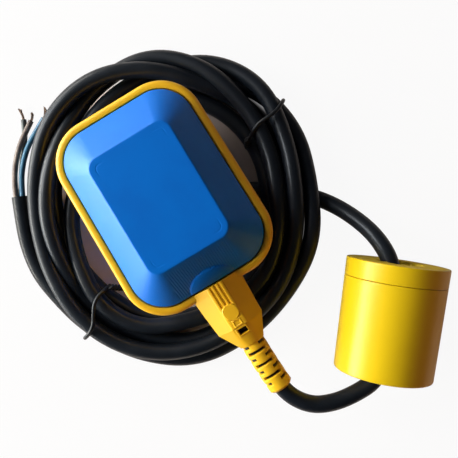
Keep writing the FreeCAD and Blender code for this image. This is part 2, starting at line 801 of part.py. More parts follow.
def plan_centre():
    """The middle of the box that holds the float and the counterweight."""
    lean = math.tan(math.radians(side_taper))
    widest = half_width + lean * (half_length - rim_corner)
    low_x, high_x = weight_extent(0)
    low_y, high_y = weight_extent(1)
    return Vector((min(-half_length, low_x) + max(neck_end, high_x)) / 2,
                  (min(-widest, low_y) + max(widest, high_y)) / 2, 0)


def save(name, shape):
    """Moves a piece from the float's own place to the row's frame and writes it."""
    moved = shape.copy()
    moved.translate(Vector(0, 0, float_height) - plan_centre())
    solids = moved.Solids
    whole = solids[0] if len(solids) == 1 else Part.makeCompound(solids)
    whole.exportStep(os.path.join("parts", name + ".step"))
    box = whole.BoundBox
    print(name, len(solids), "solid", "valid" if whole.isValid() else "NOT VALID",
          [round(v, 1) for v in (box.XMin, box.XMax, box.YMin, box.YMax, box.ZMin, box.ZMax)])


def main():
    os.makedirs("parts", exist_ok=True)
    save("upper_shell", shell_body(True))
    save("lower_shell", shell_body(False))
    save("rim_frame", rim_frame())
    save("strain_relief", strain_relief())
    save("cable_in_neck", cable_in_neck())
    save("cable_seal", cable_seal())
    save("cable_clamp", cable_clamp())
    save("capsule_base", capsule_base())
    save("capsule_lid", capsule_lid())
    save("ball_track", ball_track())
    save("steel_ball", steel_ball())
    save("switch_case", snap_switch_case())
    save("switch_plunger", plunger())
    save("switch_lever", lever())
    save("lever_pin", lever_pin())
    for index, place in enumerate(("closed", "common", "open")):
        save("blade_" + place, blade((index - 1) * blade_pitch))
        save("inner_core_" + place, inner_core(index))
    save("counterweight_shell", counterweight_shell())
    save("counterweight_cap", counterweight_cap())
    save("counterweight_ballast", counterweight_ballast())
    save("counterweight_grip", counterweight_grip())
    save("cable_lead", tube(lead_route(), cable_diameter, "lead"))
    save("cable_coil", cable_coil())
    save("cable_tail", tube(tail_route(), cable_diameter, "tail"))
    for index, colour in enumerate(("blue", "black", "brown")):
        save("core_" + colour, tube(core_route(index), core_diameter, "core " + colour))
        save("copper_" + colour, copper_tip(index))
    for index, place in enumerate(("upper", "lower")):
        save("tie_" + place, tie(tie_angles[index]))


main()
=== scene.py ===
# Cable float switch on a white table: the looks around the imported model.
# Lengths in the dictionaries are millimetres in the float's own axes (x along the float, z above the floor).
import bpy
import json
import math
import numpy as np
from mathutils import Matrix

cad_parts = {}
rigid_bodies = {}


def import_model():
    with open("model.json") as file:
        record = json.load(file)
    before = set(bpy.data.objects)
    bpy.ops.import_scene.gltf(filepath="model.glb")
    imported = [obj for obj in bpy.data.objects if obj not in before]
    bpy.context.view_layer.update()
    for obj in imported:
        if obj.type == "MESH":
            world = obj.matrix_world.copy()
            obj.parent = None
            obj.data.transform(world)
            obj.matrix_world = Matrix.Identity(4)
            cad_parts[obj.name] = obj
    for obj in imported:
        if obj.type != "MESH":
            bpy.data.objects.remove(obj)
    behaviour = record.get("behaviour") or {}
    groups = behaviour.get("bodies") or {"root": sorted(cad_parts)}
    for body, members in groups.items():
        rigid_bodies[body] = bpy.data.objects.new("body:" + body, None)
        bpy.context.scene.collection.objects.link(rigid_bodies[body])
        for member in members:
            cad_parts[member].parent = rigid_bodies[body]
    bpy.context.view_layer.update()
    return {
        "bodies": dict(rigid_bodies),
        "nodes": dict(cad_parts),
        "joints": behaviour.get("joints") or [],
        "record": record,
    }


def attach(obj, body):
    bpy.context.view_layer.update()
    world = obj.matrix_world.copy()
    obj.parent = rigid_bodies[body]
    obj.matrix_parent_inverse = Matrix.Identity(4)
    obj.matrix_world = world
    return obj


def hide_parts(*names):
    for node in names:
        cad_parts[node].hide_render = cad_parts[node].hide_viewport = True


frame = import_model()
print("frame loaded")

millimetre = 0.001
floatShift = np.array([-47.7162, -31.9602, 0.0])   # from the float's own axes to the frame's
floatHeight = 29.9                                  # the rim's middle above the floor


def toFrame(points):
    return (np.asarray(points, float) + floatShift) * millimetre


def unit(vectors):
    return vectors / np.linalg.norm(vectors, axis=-1, keepdims=True)


# A mesh from points and faces: one array of faces, or a list of arrays whose faces have as many corners each. The
# volume inside is the sum of the signed volumes under its triangles. Where that comes out negative, the surface is
# inside out, so its faces are turned round.
def newMesh(name, points, faces, smoothAngle=40.0):
    groups = faces if isinstance(faces, list) else [faces]
    volume = sum(np.einsum("ij,ij->i", points[g[:, 0]], np.cross(points[g[:, i]], points[g[:, i + 1]])).sum()
                 for g in groups for i in range(1, g.shape[1] - 1))
    if volume < 0:
        groups = [group[:, ::-1] for group in groups]
    mesh = bpy.data.meshes.new(name)
    loops = np.concatenate([group.ravel() for group in groups]).astype(np.int32)
    sizes = np.concatenate([np.full(len(group), group.shape[1]) for group in groups]).astype(np.int32)
    starts = np.r_[0, np.cumsum(sizes)[:-1]].astype(np.int32)
    mesh.vertices.add(len(points))
    mesh.vertices.foreach_set("co", np.ascontiguousarray(points, np.float32).ravel())
    mesh.loops.add(len(loops))
    mesh.loops.foreach_set("vertex_index", loops)
    mesh.polygons.add(len(sizes))
    mesh.polygons.foreach_set("loop_start", starts)
    mesh.update(calc_edges=True)
    mesh.validate()
    piece = bpy.data.objects.new(name, mesh)
    bpy.context.scene.collection.objects.link(piece)
    mesh.polygons.foreach_set("use_smooth", np.ones(len(mesh.polygons), bool))
    if smoothAngle:
        mesh.set_sharp_from_angle(angle=math.radians(smoothAngle))
    return piece


# quads between each point of a grid, the next along its row and the two beside them in the next row
def gridFaces(rows, columns, wrapRows=False, wrapColumns=False, offset=0):
    r = np.arange(rows if wrapRows else rows - 1)[:, None]
    c = np.arange(columns if wrapColumns else columns - 1)[None, :]
    nextRow, nextColumn = (r + 1) % rows, (c + 1) % columns
    quads = np.stack([r * columns + c, r * columns + nextColumn, nextRow * columns + nextColumn,
                      nextRow * columns + c], axis=-1)
    return quads.reshape(-1, 4) + offset


# triangles from a closed ring of points to one centre point
def ringFan(ring, centre, flip=False):
    fan = np.stack([ring, np.roll(ring, -1), np.full(len(ring), centre)], axis=-1)
    return fan[:, ::-1] if flip else fan


# A tube: each point of the path carries a circle across the path's direction. The circle's first direction is
# carried along without twist, by taking off the part of it that lies along the path.
def sweepTube(path, radius, sides, closed=False):
    tangent = unit(np.roll(path, -1, 0) - np.roll(path, 1, 0) if closed else np.gradient(path, axis=0))
    side = np.zeros_like(path)
    start = np.cross(tangent[0], [0.0, 0.0, 1.0])
    if np.linalg.norm(start) < 0.1:   # the path starts nearly upright
        start = np.cross(tangent[0], [0.0, 1.0, 0.0])
    side[0] = unit(start)
    for i in range(1, len(path)):
        side[i] = unit(side[i - 1] - tangent[i] * np.dot(side[i - 1], tangent[i]))
    lift = np.cross(tangent, side)
    angle = np.linspace(0, 2 * np.pi, sides, endpoint=False)[None, :, None]
    points = (path[:, None] + (side[:, None] * np.cos(angle) + lift[:, None] * np.sin(angle)) * radius).reshape(-1, 3)
    faces = [gridFaces(len(path), sides, wrapRows=closed, wrapColumns=True)]
    if not closed:
        count = len(points)
        points = np.vstack([points, path[:1], path[-1:]])
        faces.append(ringFan(np.arange(sides), count, flip=True))
        faces.append(ringFan(np.arange(sides) + count - sides, count + 1))
    return points, faces


# several sets of points and faces as one
def joined(parts):
    points, faces, offset = [], {}, 0
    for partPoints, partFaces in parts:
        points.append(partPoints)
        for group in partFaces:
            faces.setdefault(group.shape[1], []).append(group + offset)
        offset += len(partPoints)
    return np.vstack(points), [np.vstack(group) for group in faces.values()]


def mark(piece, name, values):
    # one number per point, which the piece's finish reads
    layer = piece.data.attributes.new(name, "FLOAT", "POINT")
    layer.data.foreach_set("value", np.ascontiguousarray(values, np.float32).ravel())
    return piece


# the piece rides on the root, stands for the replaced nodes and wears the finish of its slot, unless another is named
def place(piece, slot, replaced=(), finish=None):
    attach(piece, "root")
    for node in replaced:
        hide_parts(node)
    piece.data.materials.clear()
    piece.data.materials.append(finishes[finish or slot].material)
    return piece


# a socket among a material's nodes: arithmetic on it adds Math nodes
class Value:
    def __init__(self, nodes, socket):
        self.nodes, self.socket = nodes, socket

    def __add__(self, other): return self.nodes.math("ADD", self, other)
    def __sub__(self, other): return self.nodes.math("SUBTRACT", self, other)
    def __rsub__(self, other): return self.nodes.math("SUBTRACT", other, self)
    def __mul__(self, other): return self.nodes.math("MULTIPLY", self, other)
    def __pow__(self, other): return self.nodes.math("POWER", self, other)
    def __rpow__(self, other): return self.nodes.math("POWER", other, self)
    __radd__, __rmul__ = __add__, __mul__

    def most(self, other):
        return self.nodes.math("MAXIMUM", self, other)

    def between(self, low, high):
        # 0 below low, 1 above high, smooth between them
        return self.nodes.add("ShaderNodeMapRange", {"interpolation_type": "SMOOTHSTEP"},
                              {"Value": self, "From Min": low, "From Max": high})


# the nodes of a material or of the world, before a fresh output
class Nodes:
    def __init__(self, tree, outputKind):
        self.tree = tree
        tree.nodes.clear()
        self.output = tree.nodes.new(outputKind)

    def add(self, kind, settings=None, inputs=None, output=0):
        # any node: its settings first, then the values or links of its sockets
        node = self.tree.nodes.new(kind)
        for key, value in (settings or {}).items():
            setattr(node, key, value)
        for key, value in (inputs or {}).items():
            self.feed(node.inputs[key], value)
        return Value(self, node.outputs[output])

    def feed(self, socket, value):
        if isinstance(value, Value):
            self.tree.links.new(value.socket, socket)
        else:
            socket.default_value = (*value, 1.0) if socket.type == "RGBA" else value

    def math(self, operation, *values):
        return self.add("ShaderNodeMath", {"operation": operation}, dict(enumerate(values)))

    def split(self, kind, outputs, inputs=None):
        node = self.add(kind, inputs=inputs).socket.node
        return [Value(self, node.outputs[output]) for output in outputs]

    def looks(self, glossyShare):
        # 1 for what the camera sees, also through glass, and a share of it for what shows in glossy faces
        camera, glossy, through = self.split("ShaderNodeLightPath",
                                             ("Is Camera Ray", "Is Glossy Ray", "Is Transmission Ray"))
        return camera.most(glossy * glossyShare).most(through)

    def show(self, shader):
        self.tree.links.new(shader.socket, self.output.inputs["Surface"])


# a material with one Principled shader
class Finish(Nodes):
    def __init__(self, name, **shader):
        self.material = bpy.data.materials.new(name)
        self.material.use_nodes = True
        super().__init__(self.material.node_tree, "ShaderNodeOutputMaterial")
        self.surface = self.add("ShaderNodeBsdfPrincipled")
        self.show(self.surface)
        self.set(**shader)

    def set(self, **shader):
        for key, value in shader.items():
            self.feed(self.surface.socket.node.inputs[key.replace("_", " ")], value)
        return self

    def place(self):
        return self.add("ShaderNodeTexCoord", output="Object")

    def axes(self):
        return self.split("ShaderNodeSeparateXYZ", range(3), {0: self.place()})

    def marked(self, name):
        return self.add("ShaderNodeAttribute", {"attribute_name": name}, output="Fac")

    def noise(self, scale, detail=3.0, roughness=0.5, stretch=None):
        where = self.place()
        if stretch:
            where = self.add("ShaderNodeMapping", inputs={"Vector": where, "Scale": stretch})
        return self.add("ShaderNodeTexNoise", inputs={"Vector": where, "Scale": scale, "Detail": detail,
                                                      "Roughness": roughness})

    def mix(self, factor, first, second):
        return self.add("ShaderNodeMix", {"data_type": "RGBA"}, {0: factor, 6: first, 7: second}, 2)

    def bump(self, height, distance, strength):
        return self.set(Normal=self.add("ShaderNodeBump", inputs={"Height": height, "Distance": distance,
                                                                  "Strength": strength}))


plastic = {
    "mottle": (38.0, 4.0, 0.6), "scuff": (260.0, 5.0, 0.7), "scuffStretch": (1.0, 0.35, 0.8),
    "crumbs": (420.0, 4.0, 0.65), "grain": (1400.0, 2.0), "grainDepth": 0.00002, "hollow": (0.012, 0.008, 0.006),
}


# Smooth moulded plastic: slight mottling, faint scuffs and a fine surface grain. Points marked hollow are painted
# dark as shade in recesses, and those marked torn have the crumbly look of a broken edge, paler in spots.
def mouldedPlastic(name, colour, deeper, roughness, specular=0.5):
    finish = Finish(name, IOR=1.49, Specular_IOR_Level=specular)
    mottle, crumbs = finish.noise(*plastic["mottle"]), finish.noise(*plastic["crumbs"])
    scuff = finish.noise(*plastic["scuff"], stretch=plastic["scuffStretch"]).between(0.58, 0.8)
    hollow, torn = finish.marked("hollow"), finish.marked("torn")
    paler = tuple(min(1.0, channel * 1.25 + 0.05) for channel in colour)
    tone = finish.mix(mottle.between(0.3, 0.75) * 0.8, colour, deeper)
    tone = finish.mix(torn * crumbs.between(0.45, 0.65) * 0.6, tone, paler)
    finish.set(Base_Color=finish.mix(hollow, tone, plastic["hollow"]),
               Roughness=roughness + (mottle - 0.5) * 0.08 + scuff * 0.08 + torn * 0.4)
    grain = finish.noise(*plastic["grain"]) + mottle * 0.6 + torn * crumbs * 12.0
    return finish.bump(grain, plastic["grainDepth"], 0.6)


# black rubber: fine grain, a dusty bloom and a soft shine
def rubberJacket(name, colour, dusty):
    finish = Finish(name, IOR=1.5, Specular_IOR_Level=0.36, Coat_Weight=0.30, Coat_Roughness=0.2, Coat_IOR=1.5)
    bloom, fine = finish.noise(55.0, 4.0, 0.6), finish.noise(700.0, 3.0, 0.6)
    dust = bloom.between(0.42, 0.8) * 0.7 + fine.between(0.55, 0.8) * 0.3
    finish.set(Base_Color=finish.mix(dust, colour, dusty), Roughness=0.38 + bloom * 0.12 + fine * 0.05)
    return finish.bump(fine * 0.5 + finish.noise(2600.0, 1.0) * 0.5, 0.00004, 0.5)


def softSleeve(name, colour, deeper, roughness):
    finish = Finish(name, IOR=1.5)
    tone = finish.noise(160.0, 3.0, 0.6)
    finish.set(Base_Color=finish.mix(tone.between(0.35, 0.75), colour, deeper), Roughness=roughness + tone * 0.1)
    return finish.bump(finish.noise(1800.0), 0.00003, 0.5)


def bareMetal(name, colour, deeper, roughness, scale):
    finish = Finish(name, Metallic=1.0)
    tone = finish.noise(scale, 4.0, 0.6)
    finish.set(Base_Color=finish.mix(tone.between(0.3, 0.7), colour, deeper), Roughness=roughness + tone * 0.12)
    return finish.bump(finish.noise(scale * 5), 0.00002, 0.4)


# by slot: a colour, the one that it is mottled with, the roughness, and a plastic's gloss or a metal's grain
finishes = {
    "shell_blue": mouldedPlastic("shellBlue", (0.002, 0.152, 0.62), (0.002, 0.130, 0.56), 0.38, 0.27),
    "rim_yellow": mouldedPlastic("rimYellow", (0.84, 0.46, 0.012), (0.78, 0.40, 0.010), 0.40),
    "weight_yellow": mouldedPlastic("weightYellow", (0.71, 0.475, 0.006), (0.66, 0.43, 0.005), 0.33, 0.42),
    "relief": mouldedPlastic("reliefYellow", (0.90, 0.52, 0.014), (0.84, 0.46, 0.011), 0.42),
    "cable_rubber": rubberJacket("cableRubber", (0.0052, 0.0074, 0.0115), (0.0115, 0.0155, 0.0225)),
    "core_blue": softSleeve("coreBlue", (0.030, 0.115, 0.21), (0.05, 0.17, 0.28), 0.33),
    "core_black": softSleeve("coreBlack", (0.065, 0.073, 0.073), (0.115, 0.125, 0.122), 0.36),
    "core_brown": softSleeve("coreBrown", (0.130, 0.095, 0.082), (0.24, 0.19, 0.165), 0.36),
    "copper": bareMetal("copperStrand", (0.56, 0.41, 0.32), (0.30, 0.20, 0.15), 0.38, 500.0),
    "tie_black": softSleeve("tieCoat", (0.006, 0.007, 0.009), (0.014, 0.016, 0.019), 0.34),
    "capsule_white": mouldedPlastic("capsuleWhite", (0.72, 0.72, 0.70), (0.66, 0.66, 0.63), 0.42),
    "switch_black": mouldedPlastic("switchBlack", (0.022, 0.022, 0.024), (0.03, 0.03, 0.033), 0.45),
    "switch_red": mouldedPlastic("plungerRed", (0.55, 0.03, 0.02), (0.45, 0.02, 0.015), 0.4),
    "steel": bareMetal("polishedSteel", (0.60, 0.61, 0.62), (0.52, 0.53, 0.55), 0.16, 120.0),
    "spring_steel": bareMetal("springSteel", (0.50, 0.51, 0.52), (0.42, 0.42, 0.44), 0.26, 200.0),
    "blade_brass": bareMetal("bladeBrass", (0.72, 0.50, 0.20), (0.60, 0.38, 0.14), 0.28, 220.0),
    "seal_rubber": softSleeve("sealRubber", (0.02, 0.02, 0.022), (0.035, 0.035, 0.038), 0.55),
    "ballast_iron": bareMetal("castIron", (0.12, 0.11, 0.11), (0.20, 0.15, 0.12), 0.55, 90.0),
}
print("finishes made")

cable = {
    "diameter": 8.7,
    "coilCentre": (4.0, -0.5),
    "stationsPerTurn": 16,
    "firstStation": 202.5,
    # from the strain relief through the counterweight and down to the floor
    "lead": [(111.81, 1.92, 29.9), (117.75, 2.76, 29.9), (128.0, 9.8, 29.4), (133.2, 20.5, 28.2),
             (135.2, 32.5, 26.8), (135.0, 44.0, 25.6), (128.01, 53.74, 25.01), (114.48, 64.04, 25.28),
             (99.76, 76.05, 25.58), (87.0, 81.8, 25.9), (75.5, 82.9, 22.4), (64.0, 81.2, 15.6),
             (50.0, 75.5, 8.0), (37.5, 66.3, 5.0)],
    # under the float to its far corner
    "crossing": [(23.0, 48.8, 4.4), (11.9, 28.7, 4.4), (4.3, 7.2, 4.4), (-2.2, -14.8, 4.4), (-16.4, -33.6, 4.4),
                 (-40.7, -37.2, 4.4)],
    # round the coil: how far each station is from its centre, and its height, a turn to a line
    "reach": [
        65.8, 65.7, 62.6, 59.4, 57.4, 55.1, 52.5, 54.8, 58.1, 60.1, 62.1, 63.1, 61.5, 61.6, 64.2, 67.0,
        60.6, 65.2, 72.8, 81.3, 80.4, 70.7, 65.9, 68.4, 72.6, 74.3, 78.7, 80.7, 78.5, 73.9, 72.5, 74.2,
        78.4, 78.3, 72.7, 66.5, 68.3, 64.8, 61.5, 64.4, 67.3, 71.4, 76.0, 73.6, 71.9, 66.4, 65.4, 66.0,
        69.0, 76.4, 81.5, 75.3, 66.1, 60.1, 56.3, 58.7, 63.1, 62.1, 62.2, 67.6, 65.5, 58.1, 55.0, 51.6,
        51.2, 55.1, 62.1, 70.9, 78.4, 78.7, 74.6, 78.2, 78.5, 81.3, 85.5, 83.2, 80.8],
    "height": [
        4.4, 4.4, 4.4, 4.5, 4.7, 8.1, 11.5, 7.3, 4.5, 4.5, 4.5, 4.6, 4.5, 4.5, 4.4, 6.9,
        11.8, 12.5, 5.5, 5.4, 12.6, 13.8, 19.6, 14.6, 12.5, 12.8, 12.8, 13.0, 13.5, 13.8, 11.9, 13.7,
        17.2, 18.2, 17.1, 13.0, 4.9, 5.4, 11.5, 6.4, 4.4, 4.4, 4.5, 4.5, 5.8, 12.3, 17.4, 18.3,
        15.2, 8.3, 9.2, 14.8, 14.0, 15.3, 19.8, 15.3, 12.4, 13.1, 13.2, 13.0, 13.1, 12.2, 10.6, 11.5,
        10.4, 11.7, 13.1, 5.6, 4.4, 5.7, 13.8, 12.8, 4.6, 4.6, 4.7, 4.7, 4.6],
    "tail": [(8.5, -81.0, 4.5), (-5.0, -81.8, 4.5), (-19.6, -79.0, 4.5), (-32.4, -74.1, 4.5), (-43.2, -69.3, 4.5)],
}


# each station turns clockwise by an equal angle about the coil's centre, at its own reach from it
def cableRoute():
    reach, height = np.array(cable["reach"]), cable["height"]
    angle = np.radians(cable["firstStation"] - 360 / cable["stationsPerTurn"] * np.arange(len(reach)))
    centreX, centreY = cable["coilCentre"]
    coil = np.c_[centreX + reach * np.cos(angle), centreY + reach * np.sin(angle), height]
    return np.vstack([cable["lead"], cable["crossing"], coil, cable["tail"]])


# a NURBS curve of the third order that starts and ends on the route's ends, with a round bevel
def cordCurve(name, route, diameter, roundness, resolution):
    curve = bpy.data.curves.new(name, "CURVE")
    curve.dimensions = "3D"
    curve.bevel_depth = 1.0
    curve.bevel_resolution = roundness
    curve.resolution_u = resolution
    curve.render_resolution_u = resolution
    curve.use_fill_caps = True
    spline = curve.splines.new("NURBS")
    spline.points.add(len(route) - 1)
    points = toFrame(route)
    spline.points.foreach_set("co", np.c_[points, np.ones(len(points))].ravel())
    # the tube is the bevel times the radius of the points, which also sets how far the curve's box reaches past them
    spline.points.foreach_set("radius", np.full(len(points), diameter / 2 * millimetre))
    spline.order_u = 3
    spline.use_endpoint_u = True
    spline.use_smooth = True
    piece = bpy.data.objects.new(name, curve)
    bpy.context.scene.collection.objects.link(piece)
    return piece


# the points that the piece's own spline passes through, in the float's axes
def splinePoints(piece):
    bare = piece.copy()
    bare.data = piece.data.copy()
    bare.data.bevel_depth = 0.0
    bpy.context.scene.collection.objects.link(bare)
    mesh = bpy.data.meshes.new_from_object(bare.evaluated_get(bpy.context.evaluated_depsgraph_get()))
    points = np.zeros(len(mesh.vertices) * 3)
    mesh.vertices.foreach_get("co", points)
    bpy.data.objects.remove(bare)
    bpy.data.meshes.remove(mesh)
    return points.reshape(-1, 3) / millimetre - floatShift


def runLength(points):
    return float(np.linalg.norm(np.diff(points, axis=0), axis=1).sum())


mainCable = cordCurve("cable", cableRoute(), cable["diameter"], 6, 10)
place(mainCable, "cable_rubber", ("cable_lead", "cable_coil", "cable_tail"))
cableLength = runLength(splinePoints(mainCable)) * millimetre
print("cable", round(cableLength, 3), "m")

cores = {
    "diameter": 3.0, "gap": 0.05,
    "copperReach": 5.2, "copperSunk": 0.3, "copperBend": 0.9,
    # the first strand lies in the middle, four near it and the others outside them
    "strandCount": 11, "strandDiameter": 0.34, "strandRings": (0.0, 0.34, 0.62), "wind": 1.7,
    "places": {"blue": (1.8, 0.9), "black": (0.0, -1.8), "brown": (-1.8, 0.9)},
    "routes": {
        "blue": [(-50.0, -64.0, 5.0), (-55.2, -60.0, 5.4), (-59.8, -55.4, 6.2), (-63.4, -50.3, 7.6),
                 (-66.4, -44.0, 9.4), (-70.6, -34.6, 11.0)],
        "black": [(-51.5, -64.5, 2.0), (-59.8, -58.9, 1.7), (-66.8, -53.2, 1.6), (-73.0, -48.9, 1.6),
                  (-78.6, -46.3, 1.7)],
        "brown": [(-51.2, -67.5, 5.3), (-58.3, -62.8, 5.1), (-64.4, -57.3, 5.2), (-69.8, -50.4, 5.3),
                  (-75.0, -42.5, 4.6)]},
    "tips": {"blue": (-2.6, -0.5, 0.6), "black": (-1.9, -0.9, 0.5), "brown": (-0.9, -1.2, 0.8)},
}


# Bare strands: each winds slowly round the bundle's line, which bends away with the square of the way along it. A
# strand's distance from the line grows with the cube, so that the ends splay.
def strandBundle(start, heading, bend, seed):
    random = np.random.default_rng(seed)
    along = np.linspace(0, 1, 14)
    axis = start + np.outer(along * cores["copperReach"], heading) + np.outer(along ** 2, bend)
    side = unit(np.cross(heading, [0, 0, 1.0]))
    lift = np.cross(side, heading)
    parts = []
    for i in range(cores["strandCount"]):
        ring = cores["strandRings"][(i > 0) + (i > 4)]
        angle = 2 * np.pi * i / 5 + cores["wind"] * along + random.uniform(0, 0.4)
        splay = ring * (1 + along ** 3 * random.uniform(0.1, 0.9))
        end = 0.86 + 0.14 * random.uniform()
        path = axis + splay[:, None] * (np.cos(angle)[:, None] * side + np.sin(angle)[:, None] * lift)
        path = start + (path - start) * (end if i else 1.0)
        parts.append(sweepTube(toFrame(path), cores["strandDiameter"] / 2 * millimetre, 6))
    return joined(parts)


tailEnd = np.array(cable["tail"][-1])
tailHeading = unit(tailEnd - np.array(cable["tail"][-2]))
tailAcross = np.array([tailHeading[1], -tailHeading[0], 0.0])
for index, (colour, (across, above)) in enumerate(cores["places"].items()):
    start = tailEnd + tailHeading * cores["gap"] + tailAcross * across + np.array([0, 0, above])
    core = cordCurve("core." + colour, np.vstack([start, cores["routes"][colour]]), cores["diameter"], 4, 12)
    coreLine = splinePoints(core)
    heading = unit(coreLine[-1] - coreLine[-2])
    points, faces = strandBundle(coreLine[-1] - heading * cores["copperSunk"], heading,
                                 np.array(cores["tips"][colour]) * cores["copperBend"], 11 + index)
    copper = place(newMesh("copper." + colour, points, faces), "copper", ("copper_" + colour,))
    place(core, "core_" + colour, ("core_" + colour,))
print("cords made")

shell = {
    "length": 107.0, "width": 81.0, "taper": 1.0, "rimCorner": 22.0,
    "inset": 4.7, "wall": 2.4, "base": 1.0, "skirt": 5.0, "top": 20.75,
    "plateau": (62.4, 43.7), "plateauCorner": 6.0, "plateauShift": 0.2,
    "slopeRun": 17.5, "creaseRound": 0.6, "skirtRound": 2.2, "skirtDrop": 1.6, "skirtDepth": 0.72, "innerDrop": 0.5,
    "lineInset": 3.4, "lineDepth": 0.09, "lineWidth": 0.7, "lineCorner": 9.0,
    "ribPitch": 1.25, "ribHeight": 0.10, "ribReach": 21.0, "ribSpan": (0.06, 0.93), "ribFade": 0.05,
    "humpReach": 8.0, "humpWidth": 12.4, "humpHeight": 2.4,
    "steps": (26, (30, 150, 30, 40)),
}


# Corner arcs and sides in turn. A corner's arc is centred on the line that halves its angle, and outlines made with
# the same steps match point for point.
def roundedOutline(corners, radius, arcSteps, sideSteps):
    corners = np.asarray(corners, float)
    before, after = unit(np.roll(corners, 1, 0) - corners), unit(np.roll(corners, -1, 0) - corners)
    half = np.arccos(np.clip((before * after).sum(1), -1, 1)) / 2
    centre = corners + unit(before + after) * (radius / np.sin(half))[:, None]
    start = corners + before * (radius / np.tan(half))[:, None]
    finish = corners + after * (radius / np.tan(half))[:, None]
    points = []
    for i in range(4):
        first = math.atan2(*(start[i] - centre[i])[::-1])
        last = math.atan2(*(finish[i] - centre[i])[::-1])
        turn = (last - first + math.pi) % (2 * math.pi) - math.pi
        angle = first + turn * np.linspace(0, 1, arcSteps, endpoint=False)
        points.append(centre[i] + radius * np.c_[np.cos(angle), np.sin(angle)])
        share = np.linspace(0, 1, sideSteps[i], endpoint=False)[:, None]
        points.append(finish[i] * (1 - share) + start[(i + 1) % 4] * share)
    return np.vstack(points)


# the float seen from above: a rounded trapezium that widens towards the cable's end by its taper
def floatOutline(inset, arcSteps, sideSteps):
    lean = math.tan(math.radians(shell["taper"]))
    corners = []
    for sideX, sideY in ((-1, -1), (1, -1), (1, 1), (-1, 1)):
        x = sideX * (shell["length"] / 2 - inset)
        corners.append((x, sideY * (shell["width"] / 2 + lean * x - inset / math.cos(math.radians(shell["taper"])))))
    return roundedOutline(corners, shell["rimCorner"] - inset, arcSteps, sideSteps)


def plateauOutline(inset, arcSteps, sideSteps):
    halfX, halfY = shell["plateau"][0] / 2 - inset, shell["plateau"][1] / 2 - inset
    corners = [(shell["plateauShift"] + sideX * halfX, sideY * halfY)
               for sideX, sideY in ((-1, -1), (1, -1), (1, 1), (-1, 1))]
    return roundedOutline(corners, max(shell["plateauCorner"] - inset, 0.8), arcSteps, sideSteps)


def level(outline, height):
    return np.c_[outline, np.broadcast_to(height, len(outline))]


# Rings from the rim up the skirt, the sloping side and over the plateau to its middle, then back inside. On the
# slope a ring lies a share of the way from the rim's outline to the plateau's. The skirt's top and the crease at
# the plateau's edge are parabolas, and the plateau's line is a bell curve pressed down near its corners.
def shellPiece(name, direction):
    steps, wall, skirt = shell["steps"], shell["wall"], shell["skirt"]
    foot, edge = floatOutline(shell["inset"], *steps), plateauOutline(0.0, *steps)
    rise = shell["top"] - skirt
    slope = math.hypot(rise, shell["slopeRun"])
    reach, crease = shell["skirtRound"], shell["creaseRound"]
    highShare = 1 - crease / slope
    rings = [level(foot, shell["base"]), level(foot, skirt - shell["skirtDrop"])]
    for t in np.linspace(-1, 1, 9):
        share = (t + 1) ** 2 / 4 * reach / slope
        drop = reach * (t - abs(t)) / 2 * shell["skirtDepth"]
        rings.append(level(foot * (1 - share) + edge * share, skirt + drop + rise * share))
    for share in np.linspace(reach / slope, highShare, 26)[1:]:
        rings.append(level(foot * (1 - share) + edge * share, skirt + rise * share))
    for t in np.linspace(0, 1, 6)[1:]:
        share = highShare + (1 - highShare) * (2 * t - t * t)
        rings.append(level(foot * (1 - share) + plateauOutline(crease * t * t, *steps) * share, skirt + rise * share))
    insets = np.r_[np.linspace(crease, 2.6, 3)[1:], np.linspace(2.8, 4.2, 11), 6.0, 9.0, 13.0, 17.0, 20.0]
    for inset in insets:
        line = plateauOutline(inset, *steps)
        dip = shell["lineDepth"] * np.exp(-((inset - shell["lineInset"]) / (shell["lineWidth"] / 2)) ** 2)
        for i, shift in enumerate((shell["plateauShift"], 0.0)):
            fromCorner = shell["plateau"][i] / 2 - shell["lineCorner"]
            dip = dip * np.clip((np.abs(line[:, i] - shift) - fromCorner) / 3, 0, 1)
        rings.append(level(line, shell["top"] - dip))
    outer = slopeDetails(np.array(rings))
    innerFoot = floatOutline(shell["inset"] + wall, *steps)
    inner = [level(plateauOutline(insets[-1], *steps), shell["top"] - wall),
             level(plateauOutline(wall, *steps), shell["top"] - wall),
             level(innerFoot, skirt - shell["innerDrop"]), level(innerFoot, shell["base"])]
    middles = [[shell["plateauShift"], 0, shell["top"]], [shell["plateauShift"], 0, shell["top"] - wall]]
    points = np.vstack([outer.reshape(-1, 3), *inner, middles])
    rows, count = outer.shape[:2]
    first, last = np.arange(count), np.arange(count) + (rows + 3) * count
    faces = [gridFaces(rows, count, wrapColumns=True),
             gridFaces(4, count, wrapColumns=True, offset=rows * count),
             ringFan(first + (rows - 1) * count, len(points) - 2),
             ringFan(first + rows * count, len(points) - 1, flip=True),
             np.stack([last, np.roll(last, -1), np.roll(first, -1), first], axis=-1)]
    points = points * [1, 1, direction] + [0, 0, floatHeight]
    place(newMesh(name + ".dressed", toFrame(points), faces, 32.0), "shell_blue", (name,))


